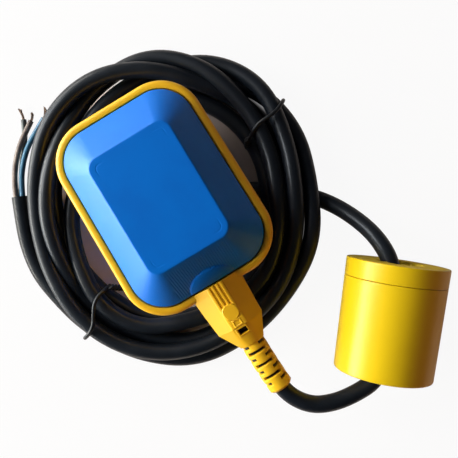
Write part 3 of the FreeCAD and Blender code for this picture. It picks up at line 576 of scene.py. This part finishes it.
# The cable end's slope: its ribs are a sine across the float that fades at the slope's ends, and the hump over the
# cable's way in is the upper half of an ellipsoid.
def slopeDetails(rings):
    x, y, z = rings[..., 0], rings[..., 1], rings[..., 2]
    edgeX = shell["plateau"][0] / 2 + shell["plateauShift"]
    footX = shell["length"] / 2 - shell["inset"]
    across = np.clip((x - edgeX) / (footX - edgeX), 0, 1)
    (ribStart, ribEnd), fade = shell["ribSpan"], shell["ribFade"]
    onSlope = (np.clip((across - ribStart) / fade, 0, 1) * np.clip((ribEnd - across) / fade, 0, 1)
               * (z > shell["skirt"] - 0.2))
    inside = 1 / (1 + np.exp((np.abs(y) - shell["ribReach"]) / 0.4))
    rib = shell["ribHeight"] * np.sin(2 * np.pi * y / shell["ribPitch"]) * onSlope * inside
    reach = np.clip((footX - x) / shell["humpReach"], 0, None)
    bulge = 1 - (y / shell["humpWidth"]) ** 2 - reach ** 2
    hump = shell["humpHeight"] * np.sqrt(np.clip(bulge, 0, None)) * (x > edgeX)
    result = rings.copy()
    skirtFade = np.clip((z - shell["base"]) / (shell["skirt"] - shell["base"]), 0, 1)
    result[..., 2] += (rib * (hump < 0.05) + hump) * skirtFade
    return result


shellPiece("upper_shell", 1)
shellPiece("lower_shell", -1)
print("shells made")

neck = {
    "root": 49.5, "shoulder": 73.5, "end": 84.3,
    "halfWidth": (14.9, 13.8, 12.5, 6.5), "roof": (9.6, 6.9), "roofHalfWidth": (4.0, 3.3),
    "edge": (2.2, 3.4), "rounding": (0.35, 1.3),
    "bandHeight": 0.45, "bandHalfWidth": 4.5,
    "grooves": (-2.3, 0.0, 2.3), "grooveHalfWidth": 0.55, "grooveDepth": 0.6, "grooveEnd": 61.5,
    "disc": (65.0, 4.1, 0.4), "sway": 1.2,
    "frame": (71.0, 1.5, 1.9, 0.3), "window": (75.9, 1.35, 2.2, 3.0),
    "around": (0.5, 0.3), "rows": 210, "columns": 160,
}
rim = {
    "band": 4.2, "halfHeight": 4.0, "round": 2.4, "tongue": (7.0, 0.9), "lowerRound": (0.5, 0.15),
    "steps": (26, (30, 90, 30, 90)),
}


# 1 where the distance is well above nought, 0 well below it, and a logistic rise between
def step(distance, soft=0.12):
    return 1 / (1 + np.exp(-np.clip(distance / soft * 2, -40, 40)))


# The neck's section without its details: a flat roof and sloping flanks, of which the lower counts at each point,
# rounded where they meet by a soft minimum.
def neckPlain(x, y, halfWidth):
    taper = np.clip((x - neck["shoulder"]) / (neck["end"] - neck["shoulder"]), 0, 1)
    roof, roofHalf, edge, soft = (neck[key][0] + (neck[key][1] - neck[key][0]) * taper
                                  for key in ("roof", "roofHalfWidth", "edge", "rounding"))
    flank = roof - (np.abs(y) - roofHalf) * (roof - edge) / (halfWidth - roofHalf)
    return -soft * np.logaddexp(-roof / soft, -flank / soft)


# Steps up or down from the plain section: a band with grooves, a disc, a raised frame and an opening with its lip.
# Each is the step of a distance from its outline.
def neckDetail(x, y):
    windowX, windowHalfX, windowHalfY, windowDepth = neck["window"]
    frameX, frameHalfX, frameHalfY, frameHeight = neck["frame"]
    lipWidth, lipHeight = neck["around"]
    band = step(neck["bandHalfWidth"] - np.abs(y)) * step(windowX - 2.6 - x)
    groove = sum(step(neck["grooveHalfWidth"] - np.abs(y - middle)) for middle in neck["grooves"])
    groove = groove * step(neck["grooveEnd"] - x)
    disc = step(neck["disc"][1] - np.hypot(x - neck["disc"][0], y))
    frame = step(0.35 - np.abs(np.maximum(np.abs(x - frameX) - frameHalfX, np.abs(y) - frameHalfY)))
    fromWindow = np.abs(x - windowX) - windowHalfX, np.abs(y) - windowHalfY
    opening = step(-np.maximum(*fromWindow), 0.08)
    around = step(lipWidth - np.abs(np.maximum(fromWindow[0] - lipWidth, fromWindow[1] - lipWidth)))
    detail = (neck["bandHeight"] * np.maximum(band, disc) - neck["grooveDepth"] * groove * (1 - disc)
              + neck["disc"][2] * disc + frameHeight * frame + lipHeight * around * (1 - opening))
    return detail, opening, windowDepth * opening


def neckSurface():
    x = np.linspace(neck["root"], neck["end"], neck["rows"])[:, None]
    halfWidth = np.interp(x, (neck["root"], 53.5, neck["shoulder"], neck["end"]), neck["halfWidth"])
    y = np.linspace(-1, 1, neck["columns"])[None, :] * halfWidth
    x = x + 0 * y
    plain = neckPlain(x, y, halfWidth)
    detail, opening, depth = neckDetail(x, y)
    upper = np.stack([x, y, plain + detail - depth], axis=-1)
    lower = np.stack([x, y, -plain], axis=-1)[:, ::-1]   # underneath the section has no details
    section = np.concatenate([upper, lower], axis=1)
    # the neck sways to one side with the square of the way along it
    along = np.clip((section[..., 0] - neck["root"]) / (neck["end"] - neck["root"]), 0, 1)
    section[..., 1] += neck["sway"] * along ** 2
    rows, columns = section.shape[:2]
    points = np.vstack([section.reshape(-1, 3), [[neck["root"], 0, 0], [neck["end"], 0, 0]]])
    # the opening is marked hollow: its finish paints it dark, as painted shade inside the opening
    hollow = np.r_[np.concatenate([opening, 0 * opening], axis=1).ravel(), 0, 0]
    return points, tubeFaces(rows, columns), hollow


# the faces of a tube of rings, with a fan at each end to the last two points
def tubeFaces(rows, columns):
    ring = np.arange(columns)
    return [gridFaces(rows, columns, wrapColumns=True), ringFan(ring, rows * columns, flip=True),
            ringFan(ring + (rows - 1) * columns, rows * columns + 1)]


# a section with quarter rounds at its outer corners and a tongue between the shells, swept round the float
def rimSurface():
    band, high, corner = rim["band"], rim["halfHeight"], rim["round"]
    reach, half = rim["tongue"]
    large, small = rim["lowerRound"]
    upper = [(reach, half), (band, half), (band, high - large), (band - small, high - small), (band - large, high)]
    upper += [(corner - corner * math.sin(a), high - corner + corner * math.cos(a))
              for a in np.linspace(0, np.pi / 2, 8)]
    section = upper + [(inset, -z) for inset, z in upper[::-1]]
    outlines = [level(floatOutline(inset, *rim["steps"]), z) for inset, z in section]
    return np.vstack(outlines), gridFaces(len(section), len(outlines[0]), wrapRows=True, wrapColumns=True)


lift = np.array([0, 0, floatHeight])
points, faces, hollow = neckSurface()
neckPiece = mark(newMesh("neck.dressed", toFrame(points + lift), faces, 35.0), "hollow", hollow)
place(neckPiece, "rim_yellow")
points, faces = rimSurface()
place(newMesh("rim.dressed", toFrame(points + lift), faces, 35.0), "rim_yellow", ("rim_frame",))

relief = {
    "start": (84.3, 1.0), "length": 27.6, "bend": 4.0, "radius": 6.25, "chamfer": 1.0,
    "slots": 7, "slotHalfWidth": 0.7, "slotDepth": 1.9, "slotSoft": 0.10, "lip": (0.16, 0.35),
    "first": 1.4, "pitch": 7.0, "sideArc": (28.0, 100.0), "centreArc": 50.0, "rows": 200, "columns": 200,
}


# A round sleeve along a gentle arc. Its slots are steep steps down in the radius, and round each the radius dips a
# little, less with the distance from it. They lie half a pitch apart, at the sides and at the middle in turn.
def reliefSurface():
    s = np.linspace(0, relief["length"], relief["rows"])[:, None]
    angle = np.linspace(0, 2 * np.pi, relief["columns"], endpoint=False)[None, :]
    fromTop = np.degrees(np.abs((angle + np.pi) % (2 * np.pi) - np.pi))
    arcScale = relief["radius"] * np.pi / 180
    atSides = np.maximum(relief["sideArc"][0] - fromTop, fromTop - relief["sideArc"][1])
    atMiddle = np.minimum(fromTop, 180 - fromTop) - relief["centreArc"]
    nearest = np.inf
    for i in range(relief["slots"]):
        along = np.abs(s - relief["first"] - relief["pitch"] * i / 2) - relief["slotHalfWidth"]
        nearest = np.minimum(nearest, np.maximum(along, (atMiddle if i % 2 else atSides) * arcScale))
    hollow = step(-nearest, relief["slotSoft"])
    lipDepth, lipReach = relief["lip"]
    dip = lipDepth * np.exp(-np.clip(nearest, 0, None) / lipReach)
    radius = relief["radius"] - relief["slotDepth"] * hollow - dip
    radius = np.minimum(radius, relief["radius"] - np.clip(s - relief["length"] + relief["chamfer"], 0, None))
    bendRadius = relief["length"] / math.radians(relief["bend"])
    turn = s / bendRadius + 0 * angle
    across, up = radius * np.sin(angle), radius * np.cos(angle)
    startX, startY = relief["start"]
    points = np.stack([startX + bendRadius * np.sin(turn) - across * np.sin(turn),
                       startY + bendRadius * (1 - np.cos(turn)) + across * np.cos(turn), up], axis=-1)
    last = relief["length"] / bendRadius
    ends = [[startX, startY, 0],
            [startX + bendRadius * math.sin(last), startY + bendRadius * (1 - math.cos(last)), 0]]
    points = np.vstack([points.reshape(-1, 3), ends])
    # the points in the slots are marked hollow, and their finish paints them dark: painted shade in the slots, whose
    # floor lies on the dark cable
    return points, tubeFaces(*radius.shape), np.r_[(hollow * (nearest < 0.02)).ravel(), 0, 0]


points, faces, hollow = reliefSurface()
reliefPiece = mark(newMesh("relief.dressed", toFrame(points + lift), faces, 35.0), "hollow", hollow)
place(reliefPiece, "rim_yellow", ("strain_relief",), finish="relief")
print("rim, neck and relief made")

weight = {
    "foot": (133.5, 49.4), "heading": 141.7, "length": 57.0,
    "footDiameter": 49.8, "topDiameter": 51.6, "wall": 2.5, "bore": 12.0,
    "capHeight": 9.3, "seamWidth": 0.22, "edgeRound": 1.0,
    "dish": (23.0, 10.0), "mouth": (28.0, 16.0), "lip": 3.0, "coreWall": 2.5, "seamRound": 0.3, "sides": 160,
}
weightLean = math.atan((weight["topDiameter"] - weight["footDiameter"]) / 2 / weight["length"])


# a closed profile of (radius, distance from the foot) turned about the counterweight's axis, which leans a little so
# that its side lies on the table
def turnedPiece(profile, wobble=None):
    profile = np.asarray(profile, float)
    angle = np.linspace(0, 2 * np.pi, weight["sides"], endpoint=False)[None, :]
    radius, height = profile[:, :1] + 0 * angle, profile[:, 1:] + 0 * angle
    if wobble:
        radius, height = wobble(radius, height, angle)
    heading = math.radians(weight["heading"])
    side = np.array([-math.sin(heading), math.cos(heading), 0.0])
    axis = np.array([math.cos(heading) * math.cos(weightLean), math.sin(heading) * math.cos(weightLean),
                     math.sin(weightLean)])
    foot = np.array([*weight["foot"], weight["footDiameter"] / 2 * math.cos(weightLean)])
    outward = np.cos(angle)[..., None] * side + np.sin(angle)[..., None] * np.cross(axis, side)
    points = foot + height[..., None] * axis + radius[..., None] * outward
    return toFrame(points.reshape(-1, 3)), gridFaces(len(profile), weight["sides"], wrapRows=True, wrapColumns=True)


def outerRadius(height):
    widening = (weight["topDiameter"] - weight["footDiameter"]) / 2
    return weight["footDiameter"] / 2 + widening * height / weight["length"]


# a quarter turn drawn as a parabola between points a radius away from the corner
def roundedCorner(before, corner, after, radius, steps=5):
    before, corner, after = (np.array(p, float) for p in (before, corner, after))
    start = corner + unit(before - corner) * radius
    finish = corner + unit(after - corner) * radius
    t = np.linspace(0, 1, steps)[:, None]
    return ((1 - t) ** 2 * start + 2 * t * (1 - t) * corner + t * t * finish).tolist()


length, wall, coreWall = weight["length"], weight["wall"], weight["coreWall"]
bore = weight["bore"] / 2
mouthRadius, mouthDepth = weight["mouth"][0] / 2, weight["mouth"][1]
dishRadius, dishDepth = weight["dish"][0] / 2, weight["dish"][1]
seam = length - weight["capHeight"]
belowSeam, aboveSeam = seam - weight["seamWidth"] / 2, seam + weight["seamWidth"] / 2
lipOuter = outerRadius(seam) - wall - 0.2
lipInner, lipFoot = lipOuter - coreWall, seam - weight["lip"]
holeAtSeam = bore + (dishRadius - bore) * max(0.0, (seam - (length - dishDepth)) / dishDepth)

# up the mouth's funnel, over the foot, along the side to the seam, and back inside
canProfile = (
    [[bore, mouthDepth]]
    + roundedCorner((bore, mouthDepth), (mouthRadius, 0), (outerRadius(0), 0), 1.0)
    + [[18.0, 0.0], [21.0, 0.0]]
    + roundedCorner((mouthRadius, 0), (outerRadius(0), 0), (outerRadius(5), 5), weight["edgeRound"], 7)
    + [[outerRadius(h), h] for h in np.linspace(3, seam - 1.2, 24)]
    + roundedCorner((outerRadius(40), 40), (outerRadius(seam), belowSeam), (bore, belowSeam), weight["seamRound"], 4)
    + [[outerRadius(seam) - wall, belowSeam], [outerRadius(20) - wall, 20.0], [outerRadius(8) - wall, 8.0],
       [mouthRadius * 0.5 + bore * 0.5 + coreWall, 8.0], [bore + coreWall, 18.5], [bore + coreWall, seam - 0.3],
       [bore, seam - 0.3]])

# up the dish round the hole, over the top, down the side to the seam, and back along the lip that fits in the can
capProfile = (
    [[holeAtSeam, seam]]
    + [[holeAtSeam + (dishRadius - holeAtSeam) * t ** 1.5, seam + (length - 0.8 - seam) * t]
       for t in np.linspace(0.15, 0.93, 7)]
    + roundedCorner((dishRadius - 0.5, length - 2.5), (dishRadius, length), (outerRadius(57), length), 0.7)
    + [[14.0, length], [18.0, length], [22.0, length]]
    + roundedCorner((dishRadius, length), (outerRadius(57), length), (outerRadius(50), 50),
                    weight["edgeRound"] * 0.7, 6)
    + [[outerRadius(h), h] for h in np.linspace(length - 2, seam + 1.2, 6)]
    + roundedCorner((outerRadius(52), 52), (outerRadius(seam), aboveSeam), (bore, aboveSeam), weight["seamRound"], 4)
    + [[lipOuter, aboveSeam], [lipOuter, lipFoot], [lipInner, lipFoot], [lipInner, seam]])


# the moulding's torn edge round the hole: sums of sines round it, which fade away from it as a bell curve
def roughDish(radius, height, angle):
    near = np.exp(-((radius - dishRadius) / 1.3) ** 2) * (height > length - 3)
    wave = 0.35 * np.sin(5 * angle + 0.7) + 0.25 * np.sin(11 * angle + 2.1) + 0.2 * np.sin(23 * angle)
    burr = 0.25 * np.sin(9 * angle) + 0.2 * np.sin(17 * angle + 1.0) - 0.1
    return radius + near * wave * 0.9, height + near * burr


place(newMesh("counterweight.can", *turnedPiece(canProfile), 38.0), "weight_yellow", ("counterweight_shell",))
topPiece = newMesh("counterweight.top", *turnedPiece(capProfile, roughDish), 38.0)
onTop = [float(height > seam and radius < outerRadius(height) - 1.2) for radius, height in capProfile]
mark(topPiece, "torn", np.repeat(onTop, weight["sides"]))
place(topPiece, "weight_yellow", ("counterweight_cap",))
print("counterweight made")

ties = {
    "wire": 2.0, "low": 1.1, "squareness": 0.8,
    # each tie: the inner and outer ends of its loop, its top, how far it sways, and its twisted tail
    "upper": {"inner": (-4.6, 52.9), "outer": (-12.9, 79.0), "top": 20.6, "sway": 1.2,
              "tail": [(-4.4, 52.2, 17.0), (-3.6, 51.2, 12.0), (-2.0, 50.6, 7.0)]},
    "lower": {"inner": (23.6, -51.0), "outer": (40.8, -76.4), "top": 20.8, "sway": -2.2,
              "tail": [(24.0, -50.6, 15.0), (26.2, -48.2, 12.0), (28.4, -45.4, 9.5)]},
    "tailRadius": 0.9, "tailWire": 0.9, "tailTurns": 2.2,
}


# from 0 to 1 and back as the angle's cosine does, but squarer: its size is raised to a power below one
def squarer(cosine):
    return 0.5 + 0.5 * np.sign(cosine) * np.abs(cosine) ** ties["squareness"]


# a loop in the upright plane through its two ends: a superellipse round the bundle of turns, which sways as a sine
def tiePath(spec, count=84):
    t = np.linspace(0, 2 * np.pi, count, endpoint=False)
    inner, outer = np.array(spec["inner"]), np.array(spec["outer"])
    span = np.linalg.norm(outer - inner)
    direction = (outer - inner) / span
    share, rise = squarer(np.cos(t)), squarer(np.sin(t))
    height = ties["low"] + (spec["top"] - ties["low"]) * rise
    sway = spec["sway"] * np.sin(share * 2 * np.pi) * rise
    return np.c_[inner + np.outer(share * span, direction) + np.outer(sway, [-direction[1], direction[0]]), height]


# two wires wound round each other along a parabola
def twistedTail(spec):
    line = np.array(spec["tail"])
    t = np.linspace(0, 1, 40)[:, None]
    middle = (1 - t) ** 2 * line[0] + 2 * (t * (1 - t)) * line[1] + t ** 2 * line[2]
    heading = unit(np.gradient(middle, axis=0))
    side = unit(np.cross(heading, [0.3, 0.2, 1.0]))
    lift = np.cross(side, heading)
    wires = []
    for phase in (0.0, np.pi):
        turn = 2 * np.pi * ties["tailTurns"] * t + phase
        wire = middle + ties["tailRadius"] * (np.cos(turn) * side + np.sin(turn) * lift)
        wires.append(sweepTube(toFrame(wire), ties["wire"] * ties["tailWire"] / 2 * millimetre, 10))
    return wires


for name in ("upper", "lower"):
    loop = sweepTube(toFrame(tiePath(ties[name])), ties["wire"] / 2 * millimetre, 12, closed=True)
    points, faces = joined([loop] + twistedTail(ties[name]))
    place(newMesh("tie." + name, points, faces), "tie_black", ("tie_" + name,))
print("ties made")

# the solids that keep their own shape
for node in frame["nodes"].values():
    for materialSlot in node.material_slots:
        key = materialSlot.material.name.split(".")[0] if materialSlot.material else ""
        if key in finishes:
            materialSlot.material = finishes[key].material

studio = {
    "cameraPlace": (-0.02399, -0.00320, 0.330), "roll": 59.0, "tilt": (0.014, 0.033),
    "focalPixels": 599.2, "imagePixels": 458, "sensorWidth": 36.0, "aim": (-0.02, -0.01, 0.02),
}


# the camera looks down, rolled about the upright, and its heading leans by the tilt's shares to the right and up
def cameraAxes():
    roll = math.radians(studio["roll"])
    right = np.array([math.cos(roll), math.sin(roll), 0.0])
    up = np.array([-math.sin(roll), math.cos(roll), 0.0])
    forward = unit(np.array([0, 0, -1.0]) - studio["tilt"][0] * right - studio["tilt"][1] * up)
    right = unit(right - forward * right.dot(forward))
    return right, np.cross(right, forward), forward


# an object whose own x, y and z axes and place are given
def aimed(name, data, x, y, z, place):
    holder = bpy.data.objects.new(name, data)
    matrix = np.eye(4)
    matrix[:3] = np.c_[x, y, z, place]
    holder.matrix_world = Matrix(matrix)
    bpy.context.scene.collection.objects.link(holder)
    return holder


right, up, forward = cameraAxes()
camera = aimed("camera", bpy.data.cameras.new("camera"), right, up, -forward, studio["cameraPlace"])
camera.data.sensor_width = studio["sensorWidth"]
camera.data.sensor_fit = "HORIZONTAL"
camera.data.lens = studio["focalPixels"] / studio["imagePixels"] * studio["sensorWidth"]
bpy.context.scene.camera = camera

# inside the coil the table's colours are painted shade: brownish, and darker on the side away from the window
table = {
    "size": 8.0, "colour": (0.75, 0.69, 0.66), "roughness": 0.6,
    "inside": (0.95, 0.77, 0.69), "insidePaintedShade": (0.36, 0.29, 0.255), "shadeReach": (-0.045, 0.045),
    "coilCentre": (-0.0437, -0.0325), "insideReach": (0.071, 0.077), "grain": (30.0, 4.0, 0.6),
    "clear": 0.93, "glossyShare": 0.12, "fade": (0.35, 1.3),
}


# a flat square: inside the coil it shows a brownish colour with painted shade, and near white outside it, where it
# keeps a faint shadow
def tableTop():
    half = table["size"] / 2
    points = np.array([[-half, -half, 0], [half, -half, 0], [half, half, 0], [-half, half, 0]], float)
    piece = newMesh("table", points, np.array([[0, 1, 2, 3]]), 0)
    finish = Finish("tableWhite", Roughness=table["roughness"])
    x, y = finish.axes()[:2]
    centreX, centreY = table["coilCentre"]
    away = ((x - centreX) ** 2.0 + (y - centreY) ** 2.0) ** 0.5
    outside = away.between(*table["insideReach"])
    # inside the coil the table is painted darker on the side away from the window: painted shade
    roll = math.radians(studio["roll"])
    toWindow = (centreX - x) * math.cos(roll) + (centreY - y) * math.sin(roll)
    shade = (toWindow + (finish.noise(*table["grain"]) - 0.5) * 0.02).between(*table["shadeReach"])
    inside = finish.mix(shade, table["insidePaintedShade"], table["inside"])
    finish.set(Base_Color=finish.mix(outside, inside, table["colour"]))
    white = finish.add("ShaderNodeEmission", inputs={"Color": (1.0, 1.0, 1.0), "Strength": 1.0})
    # far away the table fades into the room's white, so its edge doesn't show
    clear = away.between(*table["fade"]) * (1 - table["clear"]) + table["clear"]
    seen = finish.looks(table["glossyShare"]) * outside * clear
    finish.show(finish.add("ShaderNodeMixShader", inputs={0: seen, 1: finish.surface, 2: white}))
    piece.data.materials.append(finish.material)


# where each lamp stands from the object's middle (left, up and above in the picture), its size in metres and its
# watts; a bounce doesn't show in glossy faces, and a glint shows nowhere else
lamps = {
    "window": {"from": (0.95, -0.03, 0.30), "size": (0.9, 0.4), "power": 17.6, "colour": (1.0, 0.98, 0.88),
               "bounce": True},
    # a low strip of the same window, as bright
    "windowGlint": {"from": (0.95, -0.03, 0.15), "size": (0.9, 0.18), "power": 7.9, "colour": (1.0, 0.98, 0.88),
                    "glint": True},
    "sky": {"from": (0.95, 0.30, 0.66), "size": (0.5, 0.4), "power": 6.2, "colour": (0.88, 0.94, 1.0)},
    "door": {"from": (0.74, 0.72, 0.30), "size": (0.5, 0.4), "power": 4.0, "colour": (1.0, 0.98, 0.92)},
    # a warm wall opposite the window
    "wall": {"from": (-1.1, -0.5, 0.5), "size": (1.2, 0.6), "power": 3.3, "colour": (1.0, 0.42, 0.14),
             "bounce": True},
    # sheets lying on the table beside the object, bright in the window's light
    "sheet": {"from": (0.36, -0.08, -0.017), "size": (0.34, 0.5), "power": 9.0, "colour": (0.86, 0.94, 1.0),
              "flat": True},
    "sheetFar": {"from": (0.24, 0.37, -0.017), "size": (0.40, 0.34), "power": 15.0, "colour": (0.86, 0.94, 1.0),
                 "flat": True},
}
room = {"colour": (0.55, 0.72, 1.0), "strength": 0.045, "glossyShare": 0.01}


# a rectangle that faces the target, or straight up where it lies flat
def softLamp(name, spec, target):
    lamp = bpy.data.lights.new(name, "AREA")
    lamp.shape = "RECTANGLE"
    lamp.size, lamp.size_y = spec["size"]
    lamp.energy, lamp.color = spec["power"], spec["colour"]
    left, upward, above = spec["from"]
    spot = target - right * left + up * upward + np.array([0, 0, above])
    back = unit(spot - target)
    side = unit(np.cross([0, 0, 1.0], back))
    if spec.get("flat"):
        side, back = right, np.array([0, 0, -1.0])
    holder = aimed(name, lamp, side, np.cross(back, side), back, spot)
    holder.visible_camera = False
    holder.visible_glossy = not spec.get("bounce")
    holder.visible_diffuse = not spec.get("glint")


# a dim room round the lamps, which the camera sees white
def roomLight():
    world = bpy.data.worlds.new("room")
    bpy.context.scene.world = world
    world.use_nodes = True
    nodes = Nodes(world.node_tree, "ShaderNodeOutputWorld")
    dim = nodes.add("ShaderNodeBackground", inputs={0: room["colour"], 1: room["strength"]})
    white = nodes.add("ShaderNodeBackground", inputs={0: (1.0, 1.0, 1.0)})
    seen = nodes.looks(room["glossyShare"])
    nodes.show(nodes.add("ShaderNodeMixShader", inputs={0: seen, 1: dim, 2: white}))


tableTop()
for name, spec in lamps.items():
    softLamp(name, spec, np.array(studio["aim"]))
roomLight()
bpy.context.scene.view_settings.view_transform = "Standard"
print("stage made")
